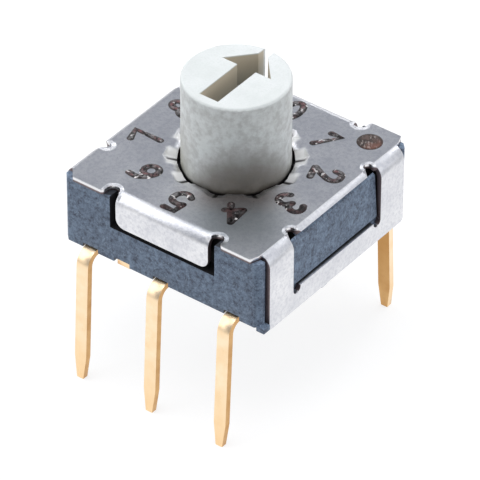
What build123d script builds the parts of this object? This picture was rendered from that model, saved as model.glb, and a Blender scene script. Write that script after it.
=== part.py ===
"""Ten-position rotary dip switch, 7 mm class, sealed, with a slotted shaft and six board pins.

The frame is the board's: z = 0 is the board's surface, the origin is the centre of the pin
pattern, +Z runs up along the shaft, and the arrow in the shaft points to position 0 along +Y.
"""
import os
from math import cos, radians, sin, tan

from build123d import *

# --- Driving dimensions, millimetres ---

# Housing: moulded body with a round contact chamber, seated on four standoffs
body_length_x = 7.0
body_length_y = 7.14
body_top = 2.50
wall_bottom = 0.24
base_bottom = 0.10
base_inset = 0.42
chamber_radius = 2.75
chamber_floor = 0.50
corner_chamfer = 0.16
standoff_radius = 0.35
standoff_x = 1.27
standoff_y = 2.70
toe_length_x = 0.28
toe_length_y = 0.29
toe_overhang = 0.17
toe_stand_back = 0.035
toe_bottom = 0.13
toe_top = 0.30
lead_notch_margin = 0.06
lead_notch_depth = 0.20
tie_notch_x = -1.40
tie_notch_width = 0.56
wedge_stand_back = 0.09
wedge_top_stand_back = 0.02
wedge_top_drop = 0.18
wedge_groove_width = 0.24
wedge_groove_depth = 0.46
wedge_root = 0.05
wedge_well_bottom = 2.10
wedge_well_length = 0.36
wedge_well_edge = 0.10
tab_pocket_depth = 0.48
tab_backing_half_width = 1.10
tab_backing_rise = 0.20

# Cover: folded stainless sheet
sheet = 0.16
cover_clearance = 0.01
side_clearance = 0.06
frame_recess = 0.04
frame_bend_radius = 0.29
frame_end_stand_back = 0.35
frame_bottom = 0.05
frame_corner_radius = 0.12
window_half_width = 2.10
window_sill = 0.79
lip_angle = 45
sill_gap = 0.07
relief_radius = 0.15
relief_leg_gap = 0.09
lip_corner_inset = 0.13
lip_half_width = 1.58
sill_relief_radius = 0.17
sill_relief_sink = 0.02
tab_recess = 0.16
tab_bend_radius = 0.21
tab_half_width = 1.65
tab_bottom = 1.56
tab_corner_radius = 0.30
tab_notch_radius = 0.21
tab_shift = 0.06
plate_corner_radius = 0.12
tab_side_gap = 0.22
tab_bottom_gap = 0.15
corner_overhang = 0.05
corner_edge_inset = 0.34
corner_notch_inset = 0.17
corner_cut = 0.29
nub_width = 0.24
nub_height = 0.03
nub_y = -0.60

# Fluted rim round the shaft: one pressed valley between every two positions
positions = 10
rim_gap = 0.10
rim_dip = 0.10
rim_dip_reach = 0.24
flute_reach = 0.42
flute_depth = 0.20
flute_half_width = 0.46
flute_floor_share = 0.40
flute_shoulder_share = 0.85
flute_toe_length = 0.16
flute_toe_width_share = 0.80
flute_toe_depth_share = 0.68

# Rotor: shaft and flange in one moulding
shaft_radius = 1.60
shaft_root_taper = 0.04
shaft_root_drop = 0.14
shaft_top = 5.48
shaft_edge_radius = 0.08
flange_gap = 0.09
flange_bottom = 1.02
flange_top = 1.95
seal_groove_bottom = 1.22
seal_groove_width = 0.48
seal_groove_depth = 0.42
slot_depth = 1.05
slot_stem_half_width = 0.33
slot_stem_end = -1.30
slot_barb_half_width = 0.87
slot_barb_y = 0.47
slot_point_y = 1.26
slot_channel_half_width = 0.17

# Sealing ring, detent spring and contact brush, all carried by the rotor
seal_squeeze_gap = 0.04
seal_corner_chamfer = 0.09
seat_gap = 0.01
spring_thickness = 0.10
spring_inner_gap = 0.08
spring_outer_inset = 0.11
bump_radius = 0.36
bump_top_radius = 0.16
bump_height = 0.34
spring_peg_radius = 0.14
spring_peg_height = 0.16
peg_clearance = 0.02
brush_thickness = 0.08
brush_outer_radius = 1.18
brush_inner_radius = 0.70
brush_peg_radius = 0.13
brush_peg_height = 0.16
finger_count = 4
finger_width = 0.34
finger_flat_share = 0.35
common_finger_width = 0.24
finger_contact_reach = 1.80
finger_tip_length = 0.15
finger_tip_rise = 0.12
common_finger_reach = 0.15
contact_gap = 0.03

# Terminals: stamped strip, insert-moulded in the base
pin_pitch = 2.54
pin_width = 0.42
pin_thickness = 0.20
pin_bend_radius = 0.40
pin_row_outset = 0.27
pin_splay_degrees = 2.8
pin_tip_z = -4.13
pin_taper_z = -3.34
pin_tip_width = 0.23
strip_level = 0.22
joggle_wall = 0.47
joggle_run = 0.26
joggle_radius = 0.12
code_pad_inner_radius = 0.95
code_pad_outer_radius = 2.30
code_pad_edge_x = 0.42
code_pad_edge_y = 0.20
code_link_width = 0.45
common_pad_radius = 0.60
tie_bar_width = 0.46
tie_bar_set_back = 0.10
tie_bar_overlap = 0.60

# --- Values worked out from them ---

half_x = body_length_x / 2
half_y = body_length_y / 2
cover_top = body_top + sheet
frame_seat = half_x - frame_recess
frame_inner = frame_seat + cover_clearance
frame_outer = frame_inner + sheet
frame_bend_x = frame_inner - frame_bend_radius
frame_half_width = half_y - frame_end_stand_back
tab_seat = half_y - tab_recess
tab_inner = tab_seat + cover_clearance
tab_outer = tab_inner + sheet
tab_bend_y = tab_inner - tab_bend_radius
rim_radius = shaft_radius + rim_gap
spring_inner_radius = shaft_radius + spring_inner_gap
spring_outer_radius = chamber_radius - flange_gap - spring_outer_inset
spring_mid_radius = (spring_inner_radius + spring_outer_radius) / 2
brush_mid_radius = (brush_inner_radius + brush_outer_radius) / 2
pad_bottom = chamber_floor - pin_thickness
pad_level = chamber_floor - pin_thickness / 2
joggle_end_y = half_y - joggle_wall
joggle_start_y = joggle_end_y - joggle_run
pin_row_y = half_y + pin_row_outset
pin_tip_y = pin_row_y + (strip_level - pin_tip_z) * tan(radians(pin_splay_degrees))
well_outside = body_length_y
through = 4 * sheet

os.makedirs("parts", exist_ok=True)


def save(part, label):
    """Label a finished piece and write it as one STEP file."""
    part.label = label
    export_step(part, f"parts/{label}.step")


# --- Terminals: a contact pad in the chamber's floor, a joggled strip and a bent pin ---


def lead_profile(side, pad_end_y):
    """Edge-on section of one lead, from its pad out through the wall and down to the tip."""
    with BuildSketch(Plane.YZ) as profile:
        with BuildLine():
            FilletPolyline(
                (side * pad_end_y, pad_level),
                (side * joggle_start_y, pad_level),
                (side * joggle_end_y, strip_level),
                (side * pin_row_y, strip_level),
                (side * pin_tip_y, pin_tip_z),
                radius=[joggle_radius, joggle_radius, pin_bend_radius],
            )
        trace(line_width=pin_thickness)
    return profile.sketch


def tip_cuts(x):
    """The two wedges cut away where a pin narrows to its tip."""
    with BuildSketch(Plane.XZ) as cuts:
        for side in (-1, 1):
            with BuildLine():
                Polyline(
                    (x + side * pin_width / 2, pin_taper_z),
                    (x + side * pin_tip_width / 2, pin_tip_z),
                    (x + side * pin_tip_width / 2, pin_tip_z - pin_width),
                    (x + side * pin_width, pin_tip_z - pin_width),
                    (x + side * pin_width, pin_taper_z),
                    close=True,
                )
            make_face()
    return cuts.sketch


# the cut end of the bar that tied the strips together before moulding
with BuildPart() as tie_bar_stub:
    with BuildSketch(Plane.YZ.offset(tie_notch_x)):
        with BuildLine():
            FilletPolyline(
                (-code_pad_outer_radius + tie_bar_overlap, pad_level),
                (-joggle_start_y, pad_level),
                (-joggle_end_y, strip_level),
                (-half_y + tie_bar_set_back, strip_level),
                radius=joggle_radius,
            )
        trace(line_width=pin_thickness)
    extrude(amount=tie_bar_width / 2, both=True)
tie_bar = tie_bar_stub.part

terminals = {}
code_link_length = pin_pitch + pin_width / 2 - code_pad_inner_radius
for label, side_x, side_y in (
    ("terminal_1", -1, 1),
    ("terminal_2", 1, 1),
    ("terminal_4", -1, -1),
    ("terminal_8", 1, -1),
):
    pin_x = side_x * pin_pitch
    with BuildPart() as code_terminal:
        with Locations((pin_x, 0)):
            lead = extrude(
                lead_profile(side_y, code_pad_inner_radius),
                amount=pin_width / 2,
                both=True,
                mode=Mode.PRIVATE,
            )
            add(lead)
        with BuildSketch(Plane.XY.offset(pad_bottom)):
            Circle(code_pad_outer_radius)
            Circle(code_pad_inner_radius, mode=Mode.SUBTRACT)
            with Locations((side_x * (code_pad_edge_x + half_x), side_y * (code_pad_edge_y + half_y))):
                Rectangle(body_length_x, body_length_y, mode=Mode.INTERSECT)
            link_y = side_y * (code_pad_inner_radius + code_link_width / 2)
            with Locations((side_x * (code_pad_inner_radius + code_link_length / 2), link_y)):
                Rectangle(code_link_length, code_link_width)
        extrude(amount=pin_thickness)
        extrude(tip_cuts(pin_x), amount=well_outside, both=True, mode=Mode.SUBTRACT)
        if label == "terminal_4":
            add(tie_bar)
    terminals[label] = code_terminal.part

with BuildPart() as terminal_common:
    for side_y in (-1, 1):
        extrude(lead_profile(side_y, 0), amount=pin_width / 2, both=True)
    with BuildSketch(Plane.XY.offset(pad_bottom)):
        Circle(common_pad_radius)
    extrude(amount=pin_thickness)
    extrude(tip_cuts(0), amount=well_outside, both=True, mode=Mode.SUBTRACT)
terminals["terminal_common"] = terminal_common.part

for label, terminal in terminals.items():
    save(terminal, label)

# --- Housing ---

lead_notch_top = strip_level + pin_thickness / 2 + lead_notch_margin
wedge_half_width = window_half_width - side_clearance
tab_pocket_seat = half_y - tab_pocket_depth
tab_backing_bottom = tab_bottom + tab_backing_rise
tab_recess_bottom = tab_bottom - tab_bottom_gap
recess_half_width = frame_half_width + side_clearance
tab_recess_half_width = tab_half_width + tab_side_gap


with BuildPart() as housing:
    with BuildSketch(Plane.XY.offset(wall_bottom)):
        Rectangle(body_length_x, body_length_y)
    extrude(amount=body_top - wall_bottom)
    chamfer(housing.edges().filter_by(Axis.Z), length=corner_chamfer)
    with BuildSketch(Plane.XY.offset(base_bottom)):
        Rectangle(body_length_x - 2 * base_inset, body_length_y - 2 * base_inset)
    extrude(amount=wall_bottom - base_bottom)
    with BuildSketch():
        with GridLocations(2 * standoff_x, 2 * standoff_y, 2, 2):
            Circle(standoff_radius)
    extrude(amount=base_bottom)
    # shallow recesses for the cover's two frames, deep pockets for its two tabs
    with BuildSketch(Plane.XY.offset(wall_bottom)):
        for side in (-1, 1):
            with Locations((side * (frame_seat + half_x / 2), 0)):
                Rectangle(half_x, 2 * recess_half_width)
    extrude(amount=body_top - wall_bottom, mode=Mode.SUBTRACT)
    with BuildSketch(Plane.XY.offset(tab_recess_bottom)):
        for side in (-1, 1):
            with Locations((tab_shift, side * (tab_pocket_seat + half_y / 2))):
                Rectangle(2 * tab_recess_half_width, half_y)
    extrude(amount=body_top - tab_recess_bottom, mode=Mode.SUBTRACT)
    # the top edges are cut off under the frames' bends
    with BuildSketch(Plane.XZ):
        for side in (-1, 1):
            with BuildLine():
                Polyline(
                    (side * frame_seat, body_top - frame_bend_radius),
                    (side * (frame_seat - frame_bend_radius), body_top),
                    (side * well_outside, body_top),
                    (side * well_outside, body_top - frame_bend_radius),
                    close=True,
                )
            make_face()
    extrude(amount=recess_half_width, both=True, mode=Mode.SUBTRACT)
    # the backing that each tab lies on, in the middle of its pocket
    with BuildSketch(Plane.YZ):
        for side in (-1, 1):
            with BuildLine():
                Polyline(
                    (side * tab_pocket_seat, tab_backing_bottom),
                    (side * tab_seat, tab_backing_bottom),
                    (side * tab_seat, body_top - tab_bend_radius),
                    (side * tab_bend_y, body_top),
                    (side * tab_pocket_seat, body_top),
                    close=True,
                )
            make_face()
    extrude(amount=tab_backing_half_width, both=True)
    # pockets under the frames' windows, and the snap wedges that stand in them
    wedge_bottom = window_sill + sill_gap
    pocket_bottom = wedge_bottom - wedge_groove_width / 2
    pocket_x = frame_seat - wedge_groove_depth
    with BuildSketch(Plane.XY.offset(pocket_bottom)):
        for side in (-1, 1):
            with Locations((side * (pocket_x + half_x / 2), 0)):
                Rectangle(half_x, 2 * (wedge_half_width + wedge_groove_width))
    extrude(amount=body_top - pocket_bottom, mode=Mode.SUBTRACT)
    with BuildSketch(Plane.XZ):
        for side in (-1, 1):
            with BuildLine():
                Polyline(
                    (side * (frame_seat - frame_bend_radius), body_top),
                    (side * (frame_seat - wedge_top_stand_back), body_top - wedge_top_drop),
                    (side * (frame_outer - wedge_stand_back), wedge_bottom),
                    (side * (pocket_x - wedge_root), wedge_bottom),
                    (side * (pocket_x - wedge_root), body_top),
                    close=True,
                )
            make_face()
    extrude(amount=wedge_half_width, both=True)
    # wells behind the wedge's upper corners, under the reliefs in the cover's bends
    well_width = wedge_groove_depth - wedge_well_edge
    with BuildSketch(Plane.XY.offset(wedge_well_bottom)):
        with GridLocations(
            2 * pocket_x + well_width, 2 * wedge_half_width - wedge_well_length, 2, 2
        ):
            Rectangle(well_width, wedge_well_length)
    extrude(amount=body_top - wedge_well_bottom, mode=Mode.SUBTRACT)
    # one corner has a square toe beside the frame
    with BuildSketch(Plane.XY.offset(toe_bottom)):
        with Locations((half_x + toe_overhang, toe_stand_back - half_y)):
            Rectangle(toe_length_x, toe_length_y, align=(Align.MAX, Align.MIN))
    extrude(amount=toe_top - toe_bottom)
    with BuildSketch(Plane.XY.offset(chamber_floor)):
        Circle(chamber_radius)
    extrude(amount=body_top - chamber_floor, mode=Mode.SUBTRACT)
    # notches in the lower edge of the walls, where the leads and a tie bar come out
    with BuildSketch(Plane.XY.offset(base_bottom)):
        for side in (-1, 1):
            with Locations((0, side * half_y)):
                with GridLocations(pin_pitch, 0, 3, 1):
                    Rectangle(pin_width + 2 * lead_notch_margin, 2 * lead_notch_depth)
        with Locations((tie_notch_x, -half_y)):
            Rectangle(tie_notch_width, 2 * lead_notch_depth)
    extrude(amount=lead_notch_top - base_bottom, mode=Mode.SUBTRACT)
    for terminal in terminals.values():
        add(terminal, mode=Mode.SUBTRACT)
save(housing.part, "housing")

# --- Cover ---

corner_edge_x = half_x - corner_edge_inset
corner_edge_y = half_y + corner_overhang
corner_notch_x = half_x - corner_notch_inset
corner_notch_y = corner_edge_y - corner_cut
lip_reach = frame_outer * cos(radians(lip_angle))
nearly = 0.001


def flange_profile(plane, inner, bend_radius, bottom):
    """Section of a pair of flanges: flat on the housing, bent down at both ends."""
    with BuildSketch(plane) as profile:
        with BuildLine():
            FilletPolyline(
                (-inner - sheet / 2, bottom),
                (-inner - sheet / 2, body_top + sheet / 2),
                (inner + sheet / 2, body_top + sheet / 2),
                (inner + sheet / 2, bottom),
                radius=bend_radius + sheet / 2,
            )
        trace(line_width=sheet)
    return profile.sketch


def valley_section(reach, half_width, depth, level):
    """Section of a pressed valley at this distance from the axis: steep flanks, rounded floor."""
    with BuildSketch(Plane.YZ.offset(reach)) as section:
        with BuildLine():
            Polyline(
                (-half_width, level),
                (-half_width * flute_floor_share, level - depth * flute_shoulder_share),
                (0, level - depth),
                (half_width * flute_floor_share, level - depth * flute_shoulder_share),
                (half_width, level),
                close=True,
            )
        make_face()
    return section.sketch.face()


def valley(level):
    """One pressed valley along +X, deepest at the rim and rising to nothing outside it."""
    end = rim_radius + flute_reach
    toe = end - flute_toe_length
    toe_width = flute_half_width * flute_toe_width_share
    toe_depth = flute_depth * flute_toe_depth_share
    past_rim = sheet / (toe - rim_radius)
    root_width = flute_half_width + (flute_half_width - toe_width) * past_rim
    root_depth = flute_depth + (flute_depth - toe_depth) * past_rim
    root = valley_section(rim_radius - sheet, root_width, root_depth, level)
    with BuildPart() as wedge:
        loft([root, valley_section(toe, toe_width, toe_depth, level), Vertex(end, 0, level)], ruled=True)
    return wedge.part


def dip(level):
    """Ring that a skin at this level sinks by all round the hole."""
    slope = rim_dip / rim_dip_reach
    inner = rim_radius - sheet
    with BuildPart() as ring:
        with BuildSketch(Plane.XZ):
            with BuildLine():
                Polyline(
                    (inner, level),
                    (rim_radius + rim_dip_reach, level),
                    (inner, level - rim_dip - slope * sheet),
                    close=True,
                )
            make_face()
        revolve(axis=Axis.Z)
    return ring.part


lower_valley = valley(body_top)
upper_valley = valley(cover_top)
lower_dip = dip(body_top)
upper_dip = dip(cover_top)

with BuildPart() as frames:
    extrude(
        flange_profile(Plane.XZ, frame_inner, frame_bend_radius, frame_bottom),
        amount=frame_half_width,
        both=True,
    )
    fillet(
        frames.edges().filter_by(Axis.X).filter_by_position(
            Axis.Z, frame_bottom - nearly, frame_bottom + nearly
        ),
        radius=frame_corner_radius,
    )

with BuildPart() as tabs:
    extrude(
        flange_profile(Plane.YZ.offset(tab_shift), tab_inner, tab_bend_radius, tab_bottom),
        amount=tab_half_width,
        both=True,
    )
    fillet(
        tabs.edges().filter_by(Axis.Y).filter_by_position(
            Axis.Z, tab_bottom - nearly, tab_bottom + nearly
        ),
        radius=tab_corner_radius,
    )

with BuildPart() as cover:
    add(frames.part)
    add(tabs.part)
    # the flat corners reach out beside the tabs, past rounded notches
    notch_x = tab_half_width + tab_notch_radius
    notch_y = tab_bend_y + tab_notch_radius
    with BuildSketch(Plane.XY.offset(body_top)) as plate:
        with BuildLine():
            Polyline(
                (tab_shift - corner_edge_x, corner_edge_y),
                (tab_shift + corner_edge_x, corner_edge_y),
                (corner_notch_x, corner_notch_y),
                (corner_notch_x, -corner_notch_y),
                (tab_shift + corner_edge_x, -corner_edge_y),
                (tab_shift - corner_edge_x, -corner_edge_y),
                (-corner_notch_x, -corner_notch_y),
                (-corner_notch_x, corner_notch_y),
                close=True,
            )
        make_face()
        for side in (-1, 1):
            with Locations((tab_shift, side * (tab_bend_y + half_y / 2))):
                Rectangle(2 * tab_half_width, half_y, mode=Mode.SUBTRACT)
            with Locations((tab_shift, side * (notch_y + half_y / 2))):
                Rectangle(2 * (notch_x + tab_notch_radius), half_y, mode=Mode.SUBTRACT)
        with Locations((tab_shift, 0)):
            with GridLocations(2 * notch_x, 2 * notch_y, 2, 2):
                Circle(tab_notch_radius, mode=Mode.SUBTRACT)
        fillet(
            plate.vertices().filter_by(
                lambda corner: abs(corner.Y) > corner_edge_y - nearly and abs(corner.X) < corner_edge_x - sheet
            ),
            radius=plate_corner_radius,
        )
    extrude(amount=sheet)
    # a window in each frame leaves two legs, a bar under the wedge and a short bent lip
    with BuildSketch(Plane.XZ):
        for side in (-1, 1):
            with BuildLine():
                Polyline(
                    (side * frame_bend_x, body_top - frame_bend_radius),
                    (
                        side * (frame_bend_x + half_x * cos(radians(lip_angle))),
                        body_top - frame_bend_radius + half_x * sin(radians(lip_angle)),
                    ),
                    (side * well_outside, window_sill),
                    (side * frame_bend_x, window_sill),
                    close=True,
                )
            make_face()
    extrude(amount=window_half_width, both=True, mode=Mode.SUBTRACT)
    # reliefs at the window's top corners run in over the bend and part the lip from the legs
    relief_x = frame_bend_x + relief_radius
    relief_y = window_half_width - relief_leg_gap - relief_radius
    with BuildSketch(Plane.XY.offset(window_sill)):
        with GridLocations(2 * relief_x, 2 * relief_y, 2, 2):
            Circle(relief_radius)
        for side_x in (-1, 1):
            for side_y in (-1, 1):
                with BuildLine():
                    Polyline(
                        (side_x * relief_x, side_y * (relief_y + relief_radius)),
                        (side_x * (relief_x + relief_radius), side_y * window_half_width),
                        (side_x * well_outside, side_y * window_half_width),
                        (side_x * well_outside, side_y * lip_half_width),
                        (side_x * (frame_outer - lip_corner_inset), side_y * lip_half_width),
                        (side_x * relief_x, side_y * (relief_y - relief_radius)),
                        close=True,
                    )
                make_face()
    extrude(amount=body_top, mode=Mode.SUBTRACT)
    # round reliefs at its bottom corners
    for side in (-1, 1):
        with BuildSketch(Plane.YZ.offset(side * frame_bend_x)):
            with Locations((0, window_sill - sill_relief_sink)):
                with GridLocations(2 * (window_half_width - sill_relief_radius), 0, 2, 1):
                    Circle(sill_relief_radius)
        extrude(amount=side * half_x, mode=Mode.SUBTRACT)
    # stubs of the tie bars under each frame
    for side in (-1, 1):
        with BuildSketch(Plane.XY.offset(frame_bottom)):
            with Locations((side * (frame_inner + sheet / 2), side * nub_y)):
                Rectangle(sheet, nub_width)
        extrude(amount=-nub_height)
    # the fluted rim: the sheet is pressed down all round and further in valleys, then the hole
    # is opened through them
    add(lower_dip)
    add(upper_dip, mode=Mode.SUBTRACT)
    with PolarLocations(0, positions):
        add(lower_valley)
        add(upper_valley, mode=Mode.SUBTRACT)
    with BuildSketch(Plane.XY.offset(chamber_floor)):
        Circle(rim_radius)
    extrude(amount=body_top, mode=Mode.SUBTRACT)
save(cover.part, "cover")

# --- Rotor ---

flange_radius = chamber_radius - flange_gap
groove_floor_radius = flange_radius - seal_groove_depth
seal_groove_top = seal_groove_bottom + seal_groove_width

with BuildPart() as rotor:
    with BuildSketch(Plane.XZ):
        with BuildLine():
            Polyline(
                (0, flange_bottom),
                (flange_radius, flange_bottom),
                (flange_radius, seal_groove_bottom),
                (groove_floor_radius, seal_groove_bottom),
                (groove_floor_radius, seal_groove_top),
                (flange_radius, seal_groove_top),
                (flange_radius, flange_top),
                (shaft_radius - shaft_root_taper, flange_top),
                (shaft_radius, cover_top - shaft_root_drop),
                (shaft_radius, shaft_top),
                (0, shaft_top),
                close=True,
            )
        make_face()
    revolve(axis=Axis.Z)
    fillet(rotor.edges().group_by(Axis.Z)[-1], radius=shaft_edge_radius)
    # screwdriver slot: an arrow whose point runs out through the shaft's side
    with BuildSketch(Plane.XY.offset(shaft_top)):
        with BuildLine():
            Polyline(
                (-slot_stem_half_width, slot_stem_end),
                (slot_stem_half_width, slot_stem_end),
                (slot_stem_half_width, slot_barb_y),
                (slot_barb_half_width, slot_barb_y),
                (slot_channel_half_width, slot_point_y),
                (slot_channel_half_width, 2 * shaft_radius),
                (-slot_channel_half_width, 2 * shaft_radius),
                (-slot_channel_half_width, slot_point_y),
                (-slot_barb_half_width, slot_barb_y),
                (-slot_stem_half_width, slot_barb_y),
                close=True,
            )
        make_face()
    extrude(amount=-slot_depth, mode=Mode.SUBTRACT)
    # pegs that carry the detent spring on top and the contact brush below
    with BuildSketch(Plane.XY.offset(flange_top)):
        with GridLocations(2 * spring_mid_radius, 0, 2, 1):
            Circle(spring_peg_radius)
    extrude(amount=spring_peg_height)
    with BuildSketch(Plane.XY.offset(flange_bottom)):
        with GridLocations(2 * brush_mid_radius, 0, 2, 1):
            Circle(brush_peg_radius)
    extrude(amount=-brush_peg_height)
save(rotor.part, "rotor")

# --- Sealing ring in the flange's groove, cut square from a tube with its corners eased ---

seal_inner_radius = groove_floor_radius + seat_gap
seal_outer_radius = chamber_radius - seal_squeeze_gap

with BuildPart() as seal_ring:
    with BuildSketch(Plane.XY.offset(seal_groove_bottom + seat_gap)):
        Circle(seal_outer_radius)
        Circle(seal_inner_radius, mode=Mode.SUBTRACT)
    extrude(amount=seal_groove_width - 2 * seat_gap)
    chamfer(seal_ring.edges().filter_by(GeomType.CIRCLE), length=seal_corner_chamfer)
save(seal_ring.part, "seal_ring")

# --- Detent spring: a flat ring with two pressed bumps that run under the flutes ---

spring_bottom = flange_top + seat_gap
on_base = (Align.CENTER, Align.CENTER, Align.MIN)
bump_inner_radius = bump_radius - spring_thickness
bump_inner_top_radius = bump_top_radius - spring_thickness / 2

with BuildPart() as detent_spring:
    with BuildSketch(Plane.XY.offset(spring_bottom)):
        Circle(spring_outer_radius)
        Circle(spring_inner_radius, mode=Mode.SUBTRACT)
        with GridLocations(2 * spring_mid_radius, 0, 2, 1):
            Circle(spring_peg_radius + peg_clearance, mode=Mode.SUBTRACT)
    extrude(amount=spring_thickness)
    with Locations((0, -spring_mid_radius, spring_bottom), (0, spring_mid_radius, spring_bottom)):
        Cone(bump_radius, bump_top_radius, bump_height, align=on_base)
        Cone(
            bump_inner_radius,
            bump_inner_top_radius,
            bump_height - spring_thickness,
            align=on_base,
            mode=Mode.SUBTRACT,
        )
save(detent_spring.part, "detent_spring")

# --- Contact brush: a ring with code fingers outward and one common finger inward ---

brush_top = flange_bottom - seat_gap
brush_mid = brush_top - brush_thickness / 2
contact_mid = chamber_floor + contact_gap + brush_thickness / 2


def finger(start, contact, tip, width):
    """One sprung finger along +X: down from the ring to its contact point, then up to its tip."""
    with BuildPart() as strip:
        with BuildSketch(Plane.XZ):
            with BuildLine():
                FilletPolyline(
                    (start, brush_mid),
                    (start + (contact - start) * finger_flat_share, brush_mid),
                    (contact, contact_mid),
                    (tip, contact_mid + finger_tip_rise),
                    radius=brush_thickness,
                )
            trace(line_width=brush_thickness)
        extrude(amount=width / 2, both=True)
    return strip.part


code_tip = finger_contact_reach + finger_tip_length
common_tip = common_finger_reach - finger_tip_length

code_finger = finger(brush_mid_radius, finger_contact_reach, code_tip, finger_width)
common_finger = finger(brush_mid_radius, common_finger_reach, common_tip, common_finger_width)

with BuildPart() as contact_brush:
    with BuildSketch(Plane.XY.offset(brush_top)):
        Circle(brush_outer_radius)
        Circle(brush_inner_radius, mode=Mode.SUBTRACT)
        with GridLocations(2 * brush_mid_radius, 0, 2, 1):
            Circle(brush_peg_radius + peg_clearance, mode=Mode.SUBTRACT)
    extrude(amount=-brush_thickness)
    with PolarLocations(0, finger_count, start_angle=45):
        add(code_finger)
    with PolarLocations(0, 1, start_angle=-90):
        add(common_finger)
save(contact_brush.part, "contact_brush")
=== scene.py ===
"""Ten-position rotary dip switch with a slotted shaft: its studio, its marks and its finishes."""

from math import cos, radians, sin, tau

import bmesh
import bpy
from mathutils import Matrix, Vector


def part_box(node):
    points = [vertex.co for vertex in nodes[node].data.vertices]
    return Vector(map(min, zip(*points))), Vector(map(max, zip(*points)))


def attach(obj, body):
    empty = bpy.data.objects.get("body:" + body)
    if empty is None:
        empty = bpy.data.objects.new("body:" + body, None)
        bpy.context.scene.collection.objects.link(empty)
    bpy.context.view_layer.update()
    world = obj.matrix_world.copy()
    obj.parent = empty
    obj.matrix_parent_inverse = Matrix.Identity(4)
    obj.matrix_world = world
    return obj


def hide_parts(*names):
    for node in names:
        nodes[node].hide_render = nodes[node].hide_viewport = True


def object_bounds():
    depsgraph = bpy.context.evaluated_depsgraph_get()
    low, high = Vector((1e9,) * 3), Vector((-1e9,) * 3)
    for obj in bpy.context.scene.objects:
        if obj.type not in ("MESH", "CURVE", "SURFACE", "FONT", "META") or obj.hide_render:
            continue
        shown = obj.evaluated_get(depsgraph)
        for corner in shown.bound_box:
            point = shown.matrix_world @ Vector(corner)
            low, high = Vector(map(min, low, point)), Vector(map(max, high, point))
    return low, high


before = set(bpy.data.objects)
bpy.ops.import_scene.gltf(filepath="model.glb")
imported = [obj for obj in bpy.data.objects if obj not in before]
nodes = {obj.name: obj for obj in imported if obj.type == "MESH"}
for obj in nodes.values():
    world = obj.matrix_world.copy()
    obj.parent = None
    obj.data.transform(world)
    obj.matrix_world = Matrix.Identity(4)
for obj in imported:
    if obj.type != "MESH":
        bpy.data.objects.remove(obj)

cad_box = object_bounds()

# --- The table-top studio -----------------------------------------------------------------------
# A sweep of matt white board carries the switch on the tips of its pins. The camera is a long
# lens well above the board. Ten soft boxes stand round the switch and over it, and a card behind
# the camera gives its metal something even to mirror.

MM = 0.001
SENSOR_MM = 36.0
FRAME_PIXELS = 480

camera_azimuth = 36.94
camera_elevation = 37.93
camera_roll = radians(0.25)
camera_distance = 150.0 * MM
camera_right = 0.11 * MM
camera_up = -2.42 * MM
camera_focus = 5236.5
aim = Vector((0, 0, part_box("cover")[1].z))


def bearing(azimuth, elevation):
    """Direction from the switch: degrees round from its front towards its right, and upwards."""
    a, e = radians(azimuth), radians(elevation)
    return Vector((sin(a) * cos(e), -cos(a) * cos(e), sin(e)))


def placed(name, data):
    """A new object of the scene with this camera, lamp, curve or mesh."""
    holder = bpy.data.objects.new(name, data)
    bpy.context.scene.collection.objects.link(holder)
    return holder


back = bearing(camera_azimuth, camera_elevation)
level_right = Vector((cos(radians(camera_azimuth)), sin(radians(camera_azimuth)), 0))
level_up = back.cross(level_right)
right = level_right * cos(camera_roll) + level_up * sin(camera_roll)
up = level_up * cos(camera_roll) - level_right * sin(camera_roll)

camera = placed("camera", bpy.data.cameras.new("camera"))
camera.data.sensor_width = SENSOR_MM
camera.data.lens = camera_focus * SENSOR_MM / FRAME_PIXELS
camera.data.clip_start = 10 * MM
camera.data.clip_end = 1000 * MM
turn = Matrix((right, up, back)).transposed()
place = aim + back * camera_distance + right * camera_right + up * camera_up
camera.matrix_world = Matrix.Translation(place) @ turn.to_4x4()
bpy.context.scene.camera = camera
bpy.context.scene.view_settings.view_transform = "Standard"


class Value:
    """One socket of a node tree, with arithmetic that adds Math nodes."""

    def __init__(self, graph, socket):
        self.graph = graph
        self.socket = socket

    def math(self, operation, *others):
        return self.graph.add("ShaderNodeMath", {"operation": operation}, (self, *others))

    def __add__(self, other):
        return self.math("ADD", other)

    __radd__ = __add__

    def __mul__(self, other):
        return self.math("MULTIPLY", other)

    __rmul__ = __mul__

    def __sub__(self, other):
        return self.math("SUBTRACT", other)

    def __rsub__(self, other):
        return self.graph.add("ShaderNodeMath", {"operation": "SUBTRACT"}, (other, self))

    def step(self, start, end):
        """0 before start, 1 after end, straight between them."""
        links = {"Value": self, "From Min": start, "From Max": end}
        return self.graph.add("ShaderNodeMapRange", {"clamp": True}, links)


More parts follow.
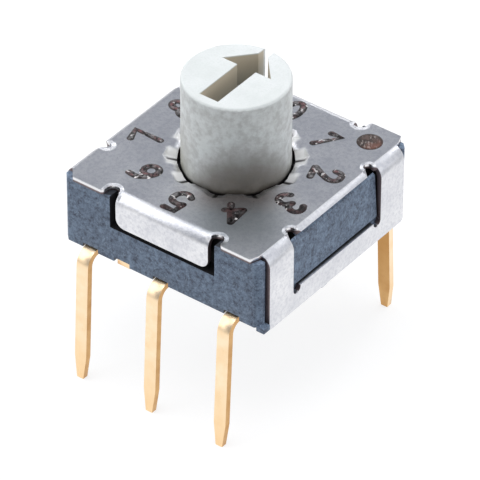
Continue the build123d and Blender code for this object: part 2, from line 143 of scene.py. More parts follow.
class Graph:
    """The node tree of one material or of the world."""

    def __init__(self, owner):
        owner.use_nodes = True
        self.tree = owner.node_tree
        self.tree.nodes.clear()

    def add(self, kind, settings=None, links=None, output=0):
        """A node of this kind: its settings first, then the values or links of its sockets."""
        node = self.tree.nodes.new(kind)
        for name, value in (settings or {}).items():
            if name == "ramp":
                stops = node.color_ramp.elements
                while len(stops) < len(value):
                    stops.new(1.0)
                for stop, (position, shade) in zip(stops, value):
                    stop.position = position
                    stop.color = (*shade, 1)
            else:
                setattr(node, name, value)
        pairs = links.items() if isinstance(links, dict) else enumerate(links or ())
        for name, value in pairs:
            if isinstance(value, Value):
                self.tree.links.new(value.socket, node.inputs[name])
            else:
                node.inputs[name].default_value = value
        return Value(self, node.outputs[output] if node.outputs else None)

    def mix(self, share, first, second, blend="MIX"):
        """Colour between first and second; each is three numbers or a link."""
        settings = {"data_type": "RGBA", "blend_type": blend}
        ends = [c if isinstance(c, Value) else (*c, 1) for c in (first, second)]
        return self.add("ShaderNodeMix", settings, {0: share, 6: ends[0], 7: ends[1]}, 2)

    def vector(self, operation, *values):
        """Vector Math on these; a length, a distance or a dot product comes out as a number."""
        output = int(operation in ("LENGTH", "DISTANCE", "DOT_PRODUCT"))
        return self.add("ShaderNodeVectorMath", {"operation": operation}, values, output)

    def axis(self, where, index):
        """One coordinate of a place: 0 for X, 1 for Y, 2 for Z."""
        return self.add("ShaderNodeSeparateXYZ", None, (where,), index)

    def place(self, centre=(0, 0, 0), turned=(0, 0, 0), scale=(1, 1, 1)):
        """Object coordinates in millimetres, centred, turned and scaled."""
        links = {
            "Vector": self.add("ShaderNodeTexCoord", output=3),
            "Location": tuple(MM * c for c in centre),
            "Rotation": turned,
            "Scale": tuple(MM * s for s in scale),
        }
        return self.add("ShaderNodeMapping", {"vector_type": "TEXTURE"}, links)

    def noise(self, where, scale, detail=3.0, roughness=0.5):
        """Cloudy noise with about this many blotches to a millimetre."""
        links = {"Vector": where, "Scale": scale, "Detail": detail, "Roughness": roughness}
        return self.add("ShaderNodeTexNoise", None, links)

    def bump(self, height, strength, distance):
        """Normal of a skin whose height runs from 0 to 1 over this distance in millimetres."""
        links = {"Height": height, "Strength": strength, "Distance": distance * MM}
        return self.add("ShaderNodeBump", None, links)

    def surface(self, **sockets):
        """Principled shader as this tree's surface; a colour is three numbers or a link."""
        links = {}
        for name, value in sockets.items():
            plain = isinstance(value, tuple) and len(value) == 3
            links[name.replace("_", " ")] = (*value, 1) if plain else value
        self.end(self.add("ShaderNodeBsdfPrincipled", None, links))

    def end(self, shader):
        """Close the tree with this shader as its surface."""
        self.add("ShaderNodeOutputMaterial", None, {"Surface": shader})


# white board: half of what is seen is its lit surface, which keeps the shadow
board_half = 2000 * MM
board_paint = (0.33, 0.33, 0.33, 1)
board_glow = 0.75
# metal mirrors less of the glow from further off than these millimetres
mirror_fade = (14, 40)
mirror_loss = 0.75

paint = bpy.data.materials.new("studio_board")
graph = Graph(paint)
camera_ray, glossy_ray, glass_ray = (
    graph.add("ShaderNodeLightPath", output=name)
    for name in ("Is Camera Ray", "Is Glossy Ray", "Is Transmission Ray")
)
far = graph.vector("LENGTH", graph.place())
mirrored = glossy_ray * (1.0 - far.step(*mirror_fade) * mirror_loss)
seen = camera_ray.math("MAXIMUM", mirrored).math("MAXIMUM", glass_ray)
matt = graph.add("ShaderNodeBsdfDiffuse", None, {"Color": board_paint})
glow = graph.add("ShaderNodeEmission", None, {"Strength": seen * board_glow})
graph.end(graph.add("ShaderNodeAddShader", None, (matt, glow)))

form = bmesh.new()
bmesh.ops.create_grid(form, x_segments=1, y_segments=1, size=board_half)
bmesh.ops.translate(form, verts=form.verts, vec=(0, 0, cad_box[0].z))
board_mesh = bpy.data.meshes.new("studio_board")
form.to_mesh(board_mesh)
form.free()
board_mesh.materials.append(paint)
board = placed("studio_board", board_mesh)

# room: white where it is seen, grey where metal mirrors it or light falls from it
room_light = 0.39
room_white = 1.0
room_tint = (0.86, 0.905, 1.0, 1)

world = bpy.data.worlds.new("studio_room")
bpy.context.scene.world = world
graph = Graph(world)
seen = graph.add("ShaderNodeLightPath", output="Is Camera Ray")
strength = graph.add("ShaderNodeMix", None, {"Factor": seen, 2: room_light, 3: room_white})
sky = graph.add("ShaderNodeBackground", None, {"Color": room_tint, "Strength": strength})
graph.add("ShaderNodeOutputWorld", None, {"Surface": sky})

# soft boxes: azimuth and elevation, then distance, width and height in millimetres, then watts
soft_boxes = {
    "top_light": (37, 82, 160, 120, 120, 0.100),
    "left_light": (-57, 38, 170, 170, 150, 0.122),
    "right_light": (134, 36, 170, 150, 150, 0.030),
    "right_inner_light": (150, 40, 170, 70, 70, 0.0090),
    "right_side_light": (90, 19, 170, 130, 130, 0.046),
    "back_light": (217, 7, 170, 80, 40, 0.018),
    "left_low_light": (-42, 3, 170, 130, 90, 0.034),
    "right_low_light": (136, 0, 170, 120, 60, 0.018),
    "right_flute_light": (254, 26, 170, 70, 70, 0.040),
    "left_flute_light": (180, 26, 170, 70, 70, 0.040),
}
for name, (azimuth, elevation, distance, width, height, power) in soft_boxes.items():
    lamp = bpy.data.lights.new(name, "AREA")
    lamp.shape = "RECTANGLE"
    lamp.size = width * MM
    lamp.size_y = height * MM
    lamp.energy = power
    lamp.color = (1, 1, 1)
    away = bearing(azimuth, elevation)
    spin = away.to_track_quat("Z", "Y").to_matrix().to_4x4()
    placed(name, lamp).matrix_world = Matrix.Translation(aim + away * distance * MM) @ spin

# card behind the camera: metal mirrors it as a pale sheet, but it throws no light on the shaft
card_half = 76 * MM
card_distance = 170 * MM
card_elevation = 32
card_black = (0.01, 0.01, 0.01, 1)
card_glow = 0.75

card_paint = bpy.data.materials.new("studio_card")
graph = Graph(card_paint)
dull = graph.add("ShaderNodeBsdfDiffuse", None, {"Color": card_black})
glow = graph.add("ShaderNodeEmission", None, {"Strength": card_glow})
mirrored = graph.add("ShaderNodeLightPath", output="Is Glossy Ray")
graph.end(graph.add("ShaderNodeMixShader", None, (mirrored, dull, glow)))

away = bearing(camera_azimuth, card_elevation)
spin = away.to_track_quat("Z", "Y").to_matrix().to_4x4()
facing_aim = Matrix.Translation(aim + away * card_distance) @ spin
form = bmesh.new()
bmesh.ops.create_grid(form, x_segments=1, y_segments=1, size=card_half)
bmesh.ops.transform(form, verts=form.verts, matrix=facing_aim)
card_mesh = bpy.data.meshes.new("studio_card")
form.to_mesh(card_mesh)
form.free()
card_mesh.materials.append(card_paint)
card = placed("studio_card", card_mesh)
card.visible_camera = False


# --- Terminals ----------------------------------------------------------------------------------
# Five stampings of brass strip, plated with gold and held in the base. Each ends in one or two
# flat, tapered pins bent down over a former, and the punch leaves their edges slightly rounded.


def colour(swatch):
    """Linear colour of a swatch given as 0 to 255 in each channel."""
    return tuple((((c / 255) + 0.055) / 1.055) ** 2.4 if c > 10 else c / 3294 for c in swatch)


def corner_angle(edge):
    """Angle between the two faces at an edge, 0 where it hasn't two."""
    return edge.calc_face_angle(0.0) if len(edge.link_faces) == 2 else 0.0


weld_distance = 0.0002 * MM
flat_angle = radians(0.5)
sharp_angle = radians(36)
crease_angle = radians(28)


def finished(node, name, edge_radius, sort=None):
    """A copy of the frame's piece as one closed skin, with its sharp edges broken."""
    form = bmesh.new()
    form.from_mesh(nodes[node].data)
    bmesh.ops.remove_doubles(form, verts=form.verts, dist=weld_distance)
    bmesh.ops.dissolve_limit(
        form,
        angle_limit=flat_angle,
        verts=form.verts,
        edges=form.edges,
        use_dissolve_boundaries=False,
    )
    bmesh.ops.bevel(
        form,
        geom=[e for e in form.edges if corner_angle(e) > sharp_angle],
        offset=edge_radius * MM,
        offset_type="OFFSET",
        affect="EDGES",
        segments=2,
        profile=0.5,
        material=-1,
        clamp_overlap=True,
    )
    form.normal_update()
    for face in form.faces:
        face.smooth = True
        face.material_index = sort(face) if sort else 0
    for edge in form.edges:
        edge.smooth = corner_angle(edge) < crease_angle
    mesh = bpy.data.meshes.new(name)
    form.to_mesh(mesh)
    form.free()
    piece = placed(name, mesh)
    weigh = piece.modifiers.new("flat_faces", "WEIGHTED_NORMAL")
    weigh.keep_sharp = True
    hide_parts(node)
    return piece


gold_swatch = (255, 231, 197)
gold_worn_swatch = (248, 217, 174)
gold_tip_swatch = (247, 208, 154)
gold_tip_levels = (-3.2, -1.6)
pin_edge_radius = 0.02

gold = bpy.data.materials.new("gold_plate")
graph = Graph(gold)
where = graph.place()
cloud = graph.noise(where, 2.2, detail=4)
rolled = graph.noise(graph.place(scale=(0.25, 1, 4)), 9.0, detail=5, roughness=0.6)
pits = graph.noise(where, 26.0, detail=2)
tone = graph.mix(cloud.step(0.35, 0.7), colour(gold_swatch), colour(gold_worn_swatch))
above_tip = (graph.axis(where, 2) + cloud * 1.5).step(*gold_tip_levels)
tone = graph.mix((1.0 - above_tip) * 0.6, tone, colour(gold_tip_swatch))
graph.surface(
    Base_Color=tone,
    Metallic=1.0,
    Roughness=0.2 + rolled * 0.22,
    Normal=graph.bump(rolled + pits * 0.5, 0.25, 0.004),
)

# painted shade: a darker, redder gold on the pins' faces towards the other row and on the front
# row's punched sides, darkest on the back row up towards its bends
shaded_gold_swatch = (220, 178, 122)
shaded_gold_worn_swatch = (198, 150, 94)
back_row_shade_swatch = (196, 146, 86)
back_row_shade_levels = (-4.0, -1.4)

shaded_gold = bpy.data.materials.new("shaded_gold_plate")
graph = Graph(shaded_gold)
where = graph.place()
cloud = graph.noise(where, 2.2, detail=4)
pits = graph.noise(where, 22.0, detail=3)
worn = cloud.step(0.35, 0.7)
tone = graph.mix(worn, colour(shaded_gold_swatch), colour(shaded_gold_worn_swatch))
back_row = graph.axis(where, 1).step(0, 1)
back_row_shade = back_row * (graph.axis(where, 2).step(*back_row_shade_levels) * 0.8 + 0.1)
tone = graph.mix(back_row_shade, tone, colour(back_row_shade_swatch))
graph.surface(
    Base_Color=tone,
    Metallic=1.0,
    Roughness=0.3 + pits * 0.2,
    Normal=graph.bump(pits, 0.25, 0.004),
)

# a face looks mostly, or squarely, along an axis where its normal has this share on it
mostly = 0.5
squarely = 0.8


def shaded_pin_face(face):
    """1 on the pin faces painted in shade: those towards the other row and the punched sides of
    the front row.
    """
    middle = face.calc_center_median()
    inner = face.normal.y * middle.y < 0 and abs(face.normal.y) > mostly
    return int(inner or (middle.y < 0 and abs(face.normal.x) > squarely))


for label in ("1", "2", "4", "8", "common"):
    strip = "terminal_strip_" + label
    terminal = finished("terminal_" + label, strip, pin_edge_radius, sort=shaded_pin_face)
    terminal.data.materials.append(gold)
    terminal.data.materials.append(shaded_gold)
    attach(terminal, "housing")

# --- Housing ------------------------------------------------------------------------------------
# One shot of slate-blue plastic filled with short glass fibre, which holds the terminals. The
# glass lies just under the skin and gives it a fine light and dark fleck.

slate_swatch = (143, 163, 187)
slate_dark_swatch = (69, 79, 98)
slate_light_swatch = (192, 211, 230)
notch_shade_swatch = (16, 16, 20)
notch_place = (2.0, 3.28, 2.5)
notch_shade_reach = (0.24, 0.34)
housing_edge_radius = 0.03

slate = bpy.data.materials.new("slate_plastic")
graph = Graph(slate)
where = graph.place()
cloud = graph.noise(where, 1.4)
fleck = graph.noise(where, 13.0, detail=4, roughness=0.7)
fibre_run = graph.place(turned=(0.4, 0.3, 0.7), scale=(0.6, 2.0, 2.0))
fibre = graph.noise(fibre_run, 22.0, detail=2)
mottle = graph.noise(where, 5.0, roughness=0.6)
fleck_share = (fleck * 0.6 + mottle * 0.4).step(0.38, 0.60)
tone = graph.mix(fleck_share, colour(slate_dark_swatch), colour(slate_swatch))
tone = graph.mix(fibre.step(0.60, 0.74) * 0.55, tone, colour(slate_light_swatch))
tone = graph.mix(cloud.step(0.3, 0.7) * 0.25, tone, colour(slate_dark_swatch))
# painted shade: the housing is near black under the cover's four notches beside its tabs
apart = graph.vector("DISTANCE", graph.vector("ABSOLUTE", where), notch_place)
tone = graph.mix((1.0 - apart.step(*notch_shade_reach)) * 0.92, tone, colour(notch_shade_swatch))
graph.surface(
    Base_Color=tone,
    Roughness=0.48 + fleck * 0.15,
    Normal=graph.bump(fleck + fibre * 0.4, 0.35, 0.008),
)

# painted shade: the pockets behind the cover's tabs and round the wedges are near black
pocket_shade_swatch = (12, 12, 16)
pocket_shade_pale_swatch = (22, 22, 28)
tab_pocket_half_width = 1.94
tab_pocket_bottom = 1.35
tab_pocket_inside = 3.0
tab_pocket_outside = 3.56
wedge_pocket_half_width = 2.34
wedge_pocket_bottom = 0.75
wedge_pocket_inside = 2.95
wedge_inside = 3.3
wedge_undercut = -0.1
wedge_outlook = 0.5

pocket_shade = bpy.data.materials.new("pocket_shade_plastic")
graph = Graph(pocket_shade)
fleck = graph.noise(graph.place(), 13.0)
graph.surface(
    Base_Color=graph.mix(fleck, colour(pocket_shade_swatch), colour(pocket_shade_pale_swatch)),
    Roughness=0.6 + fleck * 0.2,
)


def pocket_shade_face(face):
    """1 on the faces inside a pocket of the housing, which are painted in shade, 0 outside."""
    middle = face.calc_center_median() / MM
    out_x, out_y = abs(middle.x), abs(middle.y)
    in_tab_pocket = (
        out_x < tab_pocket_half_width
        and tab_pocket_inside < out_y < tab_pocket_outside
        and middle.z > tab_pocket_bottom
    )
    in_wedge_pocket = (
        out_y < wedge_pocket_half_width
        and out_x > wedge_pocket_inside
        and middle.z > wedge_pocket_bottom
    )
    on_wedge_slope = (
        out_x > wedge_inside
        and abs(face.normal.y) < mostly
        and face.normal.z > wedge_undercut
        and face.normal.x * middle.x > wedge_outlook
    )
    return int(in_tab_pocket or (in_wedge_pocket and not on_wedge_slope))


housing = finished("housing", "housing_moulding", housing_edge_radius, sort=pocket_shade_face)
housing.data.materials.append(slate)
housing.data.materials.append(pocket_shade)
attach(housing, "housing")

# --- Contact brush, sealing ring and detent spring ----------------------------------------------
# Inside, the rotor carries a gold-plated brush on its underside, a black rubber ring in its
# groove and a rolled steel spring on top, whose two domes click along the fluted rim.

rubber_swatch = (26, 26, 28)
rubber_pale_swatch = (44, 44, 46)
spring_swatch = (168, 168, 170)
spring_pale_swatch = (196, 196, 198)

rubber = bpy.data.materials.new("seal_rubber")
graph = Graph(rubber)
grain = graph.noise(graph.place(), 12.0)
graph.surface(
    Base_Color=graph.mix(grain, colour(rubber_swatch), colour(rubber_pale_swatch)),
    Roughness=0.55 + grain * 0.2,
    Normal=graph.bump(grain, 0.2, 0.005),
)

spring_steel = bpy.data.materials.new("spring_steel")
graph = Graph(spring_steel)
grain = graph.noise(graph.place(scale=(0.3, 3, 1)), 14.0, detail=4)
graph.surface(
    Base_Color=graph.mix(grain, colour(spring_swatch), colour(spring_pale_swatch)),
    Metallic=1.0,
    Roughness=0.22 + grain * 0.16,
    Normal=graph.bump(grain, 0.15, 0.003),
)

inner_finishes = {"contact_brush": gold, "seal_ring": rubber, "detent_spring": spring_steel}
for name, finish in inner_finishes.items():
    nodes[name].data.materials.clear()
    nodes[name].data.materials.append(finish)

# --- Rotor --------------------------------------------------------------------------------------
# Shaft and flange are one moulding in a warm light grey. Its skin is matt, a little mottled by
# the filler, and the screwdriver slot has crisp edges.

shaft_swatch = (239, 242, 241)
shaft_shade_swatch = (221, 226, 223)
smudge_swatch = (124, 118, 108)
gap_shadow_swatch = (16, 14, 14)
gap_shadow_levels = (2.42, 2.52)
shaft_top_levels = (5.36, 5.44)
rotor_edge_radius = 0.035

# painted shade: how much of the colour it leaves from the cover upwards, and the side where it is
# darkest
shade_ramp = (
    (0.0, (0.15, 0.13, 0.11)),
    (0.14, (0.22, 0.20, 0.18)),
    (0.30, (0.34, 0.32, 0.30)),
    (0.46, (0.54, 0.53, 0.52)),
    (0.63, (0.82, 0.82, 0.82)),
    (0.82, (0.96, 0.97, 0.97)),
    (1.0, (1.0, 1.0, 1.0)),
)
shade_levels = (2.95, 5.2)
shade_side = (0.73, -0.68, 0.0)
shade_spread = 2.3
edge_shade_swatch = (156, 154, 138)
edge_shade_levels = (2.9, 4.8)
edge_shade_turn = (0.15, 0.6)

slot_shade_swatch = (216, 206, 186)
slot_deep_shade_swatch = (172, 170, 162)
slot_reach = (1.50, 1.54)
slot_floor_levels = (4.2, 4.3)
slot_rim_levels = (5.43, 5.46)
slot_wall_levels = (4.5, 5.4)

light_grey = bpy.data.materials.new("light_grey_plastic")
graph = Graph(light_grey)
where = graph.place()
cloud = graph.noise(where, 1.1, detail=4, roughness=0.6)
grain = graph.noise(where, 17.0, roughness=0.6)
smudge = graph.noise(where, 4.0, detail=4, roughness=0.6)
shaded = cloud.step(0.35, 0.7) * 0.7
tone = graph.mix(shaded, colour(shaft_swatch), colour(shaft_shade_swatch))
tone = graph.mix(grain.step(0.45, 0.75) * 0.6, tone, colour(shaft_shade_swatch))
# painted shade: the shaft darkens towards the cover, most on its front, and its sides turned away
# take a brownish painted shade low down
level = graph.axis(where, 2)
uneven_level = level + cloud * 0.5
across = graph.vector("MULTIPLY", where, (1, 1, 0))
facing = graph.vector("DOT_PRODUCT", graph.vector("NORMALIZE", across), shade_side)
near_cover = (uneven_level + (1.0 - facing) * shade_spread).step(*shade_levels)
shade_tone = graph.add("ShaderNodeValToRGB", {"ramp": shade_ramp}, (near_cover,))
tone = graph.mix(1.0, tone, shade_tone, "MULTIPLY")
turned_away = 1.0 - facing.step(*edge_shade_turn)
edge_shade = turned_away * (1.0 - uneven_level.step(*edge_shade_levels))
tone = graph.mix(edge_shade * 0.8, tone, colour(edge_shade_swatch))
smudged = smudge.step(0.40, 0.62) * (1.0 - level.step(*shaft_top_levels))
tone = graph.mix(smudged * 0.30, tone, colour(smudge_swatch))
# painted shadow: below the cover's rim the shaft and flange are near black, standing for the
# shadow in the gap round the shaft
tone = graph.mix(level.step(*gap_shadow_levels), colour(gap_shadow_swatch), tone)
# painted shade: the slot is darker than the skin, and darkest towards its floor
slot_shade = 1.0 - graph.vector("LENGTH", across).step(*slot_reach)
slot_shade = slot_shade * level.step(*slot_floor_levels) * (1.0 - level.step(*slot_rim_levels))
wall = level.step(*slot_wall_levels)
tone = graph.mix(slot_shade, tone, graph.mix(wall, colour(slot_deep_shade_swatch), colour(slot_shade_swatch)))
graph.surface(
    Base_Color=tone,
    Roughness=0.34 + grain * 0.16,
    Normal=graph.bump(grain, 0.22, 0.006),
)

rotor = finished("rotor", "rotor_moulding", rotor_edge_radius)
rotor.data.materials.append(light_grey)
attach(rotor, "rotor")

# --- Cover --------------------------------------------------------------------------------------
# Stainless sheet, pierced and folded: two tabs, and two windowed frames that spring over wedges
# on the housing. The mill finish is satin; the sheared edges are rougher and darker, with a
# painted highlight along their top and painted shadow below.

steel_swatch = (238, 238, 240)
steel_shade_swatch = (213, 214, 219)
steel_grit_swatch = (178, 180, 190)
plate_levels = (2.60, 2.65)
cover_edge_radius = 0.055
skin_depth = 0.004

flute_count = 10
flute_highlight_swatch = (255, 255, 255)
flute_reach = (2.02, 2.14)
flute_front = (0.9, 1.5)
flute_flank = (0.12, 0.22)
crease_shade_swatch = (52, 48, 48)
crease_shade_flank = (0.425, 0.475)

front_shade_swatch = (136, 118, 112)
far_shade_swatch = (132, 141, 148)
front_bearing = (0.60, -0.80, 0.0)
across_bearing = (0.80, 0.60, 0.0)
shade_start = (1.3, 2.0)
shade_change = (1.9, 2.8)
shade_end = (3.6, 5.0)
shade_half_width = (0.7, 1.9)

# openings at the bends, beside the tabs and above the windows: centre, then radius
openings = (((1.86, 3.42, 0), 0.21), ((3.30, 1.86, 0), 0.15))
tab_shift = 0.06
rim_start = 0.02
rim_width = 0.12
rim_drop = 0.045
rim_levels = (2.40, 2.55)

steel = bpy.data.materials.new("satin_stainless")
graph = Graph(steel)
where = graph.place()
cloud = graph.noise(where, 0.9, detail=4, roughness=0.6)
mill = graph.noise(graph.place(scale=(1.0, 0.25, 1.0)), 16.0, detail=4, roughness=0.65)
pits = graph.noise(where, 30.0, detail=2)
grit = graph.noise(where, 8.0, detail=4, roughness=0.7)
shaded = (cloud + mill * 0.6).step(0.55, 1.05)
tone = graph.mix(shaded, colour(steel_swatch), colour(steel_shade_swatch))
tone = graph.mix(grit.step(0.45, 0.60) * 0.35, tone, colour(steel_grit_swatch))
# painted dark reflection along the bottom of each flute
east, north, level = (graph.axis(where, index) for index in (0, 1, 2))
flute = (north.math("ARCTAN2", east) * (flute_count / tau) + flute_count).math("FRACT")
aside = flute.math("SUBTRACT", 0.5).math("ABSOLUTE")
across = graph.vector("MULTIPLY", where, (1, 1, 0))
in_flutes = 1.0 - (graph.vector("LENGTH", across) + mill * 0.1).step(*flute_reach)
crease_shade = aside.step(*crease_shade_flank) * in_flutes
tone = graph.mix(crease_shade * 0.85, tone, colour(crease_shade_swatch))
# painted reflection and shade: the plate in front of the shaft is tinted brown near it and grey
# further off
ahead = graph.vector("DOT_PRODUCT", across, front_bearing)
aslant = graph.vector("DOT_PRODUCT", across, across_bearing)
front_shade = ahead.step(*shade_start) * (1.0 - (ahead + cloud * 0.4).step(*shade_end))
front_shade = front_shade * (1.0 - aslant.math("ABSOLUTE").step(*shade_half_width))
front_shade = front_shade * level.step(*plate_levels)
shade_tone = graph.mix(ahead.step(*shade_change), colour(front_shade_swatch), colour(far_shade_swatch))
tone = graph.mix(front_shade * 0.60, tone, shade_tone)
# painted highlight: the flutes are painted brighter and made more matt, but for those in front
flute_highlight = in_flutes * (1.0 - ahead.step(*flute_front)) * (1.0 - crease_shade)
flute_highlight = flute_highlight * aside.step(*flute_flank)
tone = graph.mix(flute_highlight, tone, colour(flute_highlight_swatch))
# the sheet is drawn down a little round the notches at its bends
quarter = graph.vector("ABSOLUTE", graph.place(centre=(tab_shift, 0, 0)))
quarter = graph.vector("MULTIPLY", quarter, (1, 1, 0))
beside_tab, above_window = (
    1.0 - graph.vector("DISTANCE", quarter, centre).step(radius - rim_start, radius + rim_width)
    for centre, radius in openings
)
drawn_in = beside_tab.math("MAXIMUM", above_window) * level.step(*rim_levels)
skin = (mill + pits * 0.8 + grit * 1.5) * (skin_depth / rim_drop)
graph.surface(
    Base_Color=tone,
    Metallic=1.0 - flute_highlight * 0.88,
    Roughness=0.20 + mill * 0.14 + grit * 0.06 + flute_highlight * 0.1,
    Normal=graph.bump(skin - drawn_in, 1.0, rim_drop),
)

# the shear leaves a burnished band along the sheet's outer face and a torn one below; the
# burnished band is painted bright as a highlight, the torn one dark as the shadow under the
# sheet's edge
sheared_swatch = (146, 132, 134)
torn_and_shadow_swatch = (84, 70, 72)
burnish_and_highlight_levels = (-0.10, -0.06)
sheet_thickness = 0.16
frame_inside = 3.2
cover_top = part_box("cover")[1].z / MM

sheared = bpy.data.materials.new("sheared_stainless")
graph = Graph(sheared)
torn = graph.noise(graph.place(scale=(1, 1, 0.3)), 20.0, detail=4, roughness=0.7)
below_top = graph.axis(graph.place(centre=(0, 0, cover_top)), 2)
burnish_and_highlight = (below_top + torn * 0.03).step(*burnish_and_highlight_levels)
dark = graph.mix(torn, colour(torn_and_shadow_swatch), colour(sheared_swatch))
graph.surface(
    Base_Color=graph.mix(burnish_and_highlight, dark, colour(steel_swatch)),
    Metallic=0.8 + burnish_and_highlight * 0.2,
    Roughness=0.45 - burnish_and_highlight * 0.2,
    Normal=graph.bump(torn, 0.4, 0.006),
)


def sheared_face(face):
    """1 on the faces that the shear left round the blank and its openings, 0 on the skin."""
    middle = face.calc_center_median() / MM
    if middle.z > cover_top - sheet_thickness:
        return int(abs(face.normal.z) < mostly)
    if abs(middle.x) > frame_inside:
        return int(abs(face.normal.y) > mostly)
    return int(abs(face.normal.x) > mostly)


cover = finished("cover", "cover_sheet", cover_edge_radius, sort=sheared_face)
cover.data.materials.append(steel)
cover.data.materials.append(sheared)
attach(cover, "housing")

# --- Markings -----------------------------------------------------------------------------------
# Ten numerals and an index dot, burnt into the cover by a laser that went round each stroke:
# dark brown along its edges, with a paler molten bead between them.

burn_swatch = (40, 38, 38)
burn_pale_swatch = (84, 78, 78)
bead_swatch = (166, 164, 164)
bead_brown_swatch = (158, 112, 112)
front_numeral_dark_swatch = (26, 22, 24)
front_brown_swatch = (64, 44, 44)
glint_swatch = (240, 236, 234)
front_reach = (1.7, 2.6)
bead_levels = (0.021, 0.029)

numeral_reach = 2.72
stroke_half_width = 0.112
bead_height = 0.024


def oval(x, y, half_width, half_height, start=90.0, sweep=360.0, count=12):
    """Points round an upright oval, clockwise from start in degrees."""
    spots = []
    for index in range(count):
        angle = radians(start - sweep * index / (count - (sweep < 360.0)))
        spots.append((x + half_width * cos(angle), y + half_height * sin(angle)))
    return spots


# strokes of each numeral in millimetres from its middle: how they bend, then their points
ring, bent, straight = "ring", "bent", "straight"
hook_of_two = [(-0.22, 0.22), (-0.14, 0.40), (0.02, 0.44), (0.19, 0.36), (0.22, 0.18)]
top_of_three = [(-0.20, 0.32), (-0.07, 0.43), (0.11, 0.42), (0.20, 0.26), (0.14, 0.08)]
bottom_of_three = [(0.17, -0.05), (0.24, -0.22), (0.15, -0.39), (-0.05, -0.43), (-0.21, -0.32)]
middle_of_three = (-0.02, 0.02)
corner_of_four = (-0.26, -0.16)
top_of_four = (0.10, 0.42)
corner_of_five = (-0.20, 0.04)
bowl_of_five = [(0.00, 0.10), (0.19, 0.03), (0.24, -0.16), (0.14, -0.37), (-0.05, -0.43)]
six = [(0.13, 0.44), (-0.10, 0.30), (-0.21, 0.05), (-0.22, -0.18)]
six += oval(0.0, -0.19, 0.22, 0.23, start=180.0, sweep=-330.0, count=9)[1:]
numerals = (
    ((ring, oval(0, 0, 0.23, 0.42)),),
    ((straight, [(-0.22, 0.22), (0.06, 0.43), (0.06, -0.43)]),),
    (
        (bent, [*hook_of_two, (0.06, -0.08), (-0.24, -0.40)]),
        (straight, [(-0.24, -0.41), (0.24, -0.41)]),
    ),
    (
        (bent, [*top_of_three, middle_of_three]),
        (bent, [middle_of_three, *bottom_of_three]),
    ),
    (
        (straight, [(0.10, -0.43), top_of_four]),
        (straight, [top_of_four, corner_of_four]),
        (straight, [corner_of_four, (0.27, -0.16)]),
    ),
    (
        (straight, [(0.20, 0.42), (-0.17, 0.42), corner_of_five]),
        (bent, [corner_of_five, *bowl_of_five, (-0.22, -0.33)]),
    ),
    ((bent, six),),
    ((straight, [(-0.23, 0.42), (0.23, 0.42), (-0.05, -0.43)]),),
    ((ring, oval(0, 0.22, 0.17, 0.20)), (ring, oval(0, -0.20, 0.21, 0.23))),
    ((bent, [(-x, -y) for x, y in six]),),
)

burnt = bpy.data.materials.new("laser_burn")
graph = Graph(burnt)
where = graph.place()
cloud = graph.noise(where, 3.0)
melt = graph.noise(where, 11.0, detail=4, roughness=0.65)
glint = graph.noise(where, 7.0, detail=2, roughness=0.4)
above_top = graph.axis(graph.place(centre=(0, 0, cover_top)), 2)
bead = (above_top + melt * 0.010).step(*bead_levels)
dark = graph.mix(melt.step(0.40, 0.60), colour(burn_swatch), colour(burn_pale_swatch))
pale = graph.mix(cloud.step(0.46, 0.60), colour(bead_swatch), colour(bead_brown_swatch))
# the numerals in front of the shaft are darker
across = graph.vector("MULTIPLY", where, (1, 1, 0))
front = graph.vector("DOT_PRODUCT", across, front_bearing).step(*front_reach)
browned = cloud.step(0.45, 0.6)
front_dark = graph.mix(browned, colour(front_numeral_dark_swatch), colour(front_brown_swatch))
dark = graph.mix(front * 0.75, dark, front_dark)
tone = graph.mix(bead * melt.step(0.42, 0.58) * (0.8 - front * 0.6), dark, pale)
# painted highlight: small white glints are mixed into the burn's colour
graph.surface(
    Base_Color=graph.mix(glint.step(0.62, 0.67) * 0.85, tone, colour(glint_swatch)),
    Metallic=0.7,
    Roughness=0.26 + melt * 0.3,
    Normal=graph.bump(melt + glint * 0.8, 0.9, 0.016),
)

pen = bpy.data.curves.new("numerals", "CURVE")
pen.dimensions = "3D"
pen.bevel_depth = stroke_half_width * MM
pen.bevel_resolution = 3
pen.resolution_u = 5
stroke_ends = []
for value, strokes in enumerate(numerals):
    turned = radians(90 - 360 / len(numerals) * value)
    outward = Vector((cos(turned), sin(turned), 0))
    rightward = Vector((sin(turned), -cos(turned), 0))
    for manner, spots in strokes:
        spline = pen.splines.new("BEZIER")
        spline.bezier_points.add(len(spots) - 1)
        spline.use_cyclic_u = manner == ring
        for point, (x, y) in zip(spline.bezier_points, spots):
            point.co = (outward * (numeral_reach + y) + rightward * x) * MM
            point.handle_left_type = "VECTOR" if manner == straight else "AUTO"
            point.handle_right_type = point.handle_left_type
        if manner != ring:
            stroke_ends += [spline.bezier_points[end].co.copy() for end in (0, -1)]
drawn = placed("numerals", pen)
bpy.context.view_layer.update()
numeral_mesh = bpy.data.meshes.new_from_object(drawn)
bpy.data.objects.remove(drawn)


def laid_on_cover(form, half_width, height, spot=(0, 0)):
    """The upper half of a round form, pressed down to this height, on a spot of the cover."""
    bmesh.ops.bisect_plane(
        form,
        geom=form.verts[:] + form.edges[:] + form.faces[:],
        plane_co=(0, 0, 0),
        plane_no=(0, 0, 1),
        clear_inner=True,
    )
    bmesh.ops.scale(form, verts=form.verts, vec=(1, 1, height / half_width))
    bmesh.ops.translate(form, verts=form.verts, vec=Vector((*spot, cover_top)) * MM)
    for face in form.faces:
        face.smooth = True


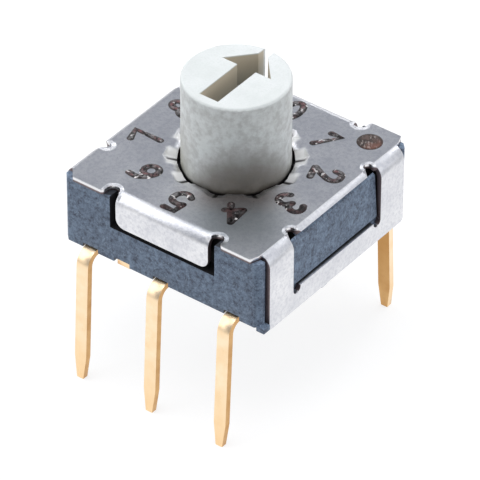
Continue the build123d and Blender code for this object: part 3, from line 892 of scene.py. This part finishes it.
form = bmesh.new()
form.from_mesh(numeral_mesh)
for end in stroke_ends:
    bmesh.ops.create_uvsphere(
        form,
        u_segments=12,
        v_segments=6,
        radius=stroke_half_width * MM,
        matrix=Matrix.Translation(end),
    )
laid_on_cover(form, stroke_half_width, bead_height)
form.to_mesh(numeral_mesh)
form.free()
numeral_mesh.materials.clear()
numeral_mesh.materials.append(burnt)
marks = placed("cover_numerals", numeral_mesh)
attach(marks, "housing")

# the index dot is the same burn in close lines, browner because it stayed hot for longer
scorch_swatch = (70, 62, 58)
scorch_pale_swatch = (112, 94, 88)
scorch_line_swatch = (206, 196, 190)
scorch_red_swatch = (164, 104, 84)
scorch_rim_swatch = (52, 44, 42)
scorch_red_side = (0.9, -0.4, 0.0)
scorch_red_reach = (0.16, 0.42)
scorch_rim_reach = (0.32, 0.40)
line_turn = (0, 0, -0.92)
line_stretch = (2.0, 0.6, 1)
dot_place = (2.66, 2.85)
dot_radius = 0.385
dot_height = 0.016

scorched = bpy.data.materials.new("laser_scorch")
graph = Graph(scorched)
dot_centre = (*dot_place, cover_top)
where = graph.place(centre=dot_centre)
blotch = graph.noise(where, 5.0, detail=4, roughness=0.7)
melt = graph.noise(where, 12.0, roughness=0.6)
lines = graph.noise(graph.place(centre=dot_centre, turned=line_turn, scale=line_stretch), 10.0)
tone = graph.mix(blotch.step(0.40, 0.60), colour(scorch_swatch), colour(scorch_pale_swatch))
tone = graph.mix(lines.step(0.55, 0.63) * 0.55, tone, colour(scorch_line_swatch))
side = graph.vector("DOT_PRODUCT", where, scorch_red_side)
red = (side + blotch * 0.3).step(*scorch_red_reach)
tone = graph.mix(red * 0.4, tone, colour(scorch_red_swatch))
rim = (graph.vector("LENGTH", where) + melt * 0.05).step(*scorch_rim_reach)
tone = graph.mix(rim * 0.8, tone, colour(scorch_rim_swatch))
graph.surface(
    Base_Color=tone,
    Metallic=0.5,
    Roughness=0.36 + melt * 0.25,
    Normal=graph.bump(melt, 0.7, 0.015),
)

form = bmesh.new()
bmesh.ops.create_uvsphere(form, u_segments=40, v_segments=12, radius=dot_radius * MM)
laid_on_cover(form, dot_radius, dot_height, spot=dot_place)
dot_mesh = bpy.data.meshes.new("cover_index_dot")
form.to_mesh(dot_mesh)
form.free()
dot_mesh.materials.append(scorched)
dot = placed("cover_index_dot", dot_mesh)
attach(dot, "housing")
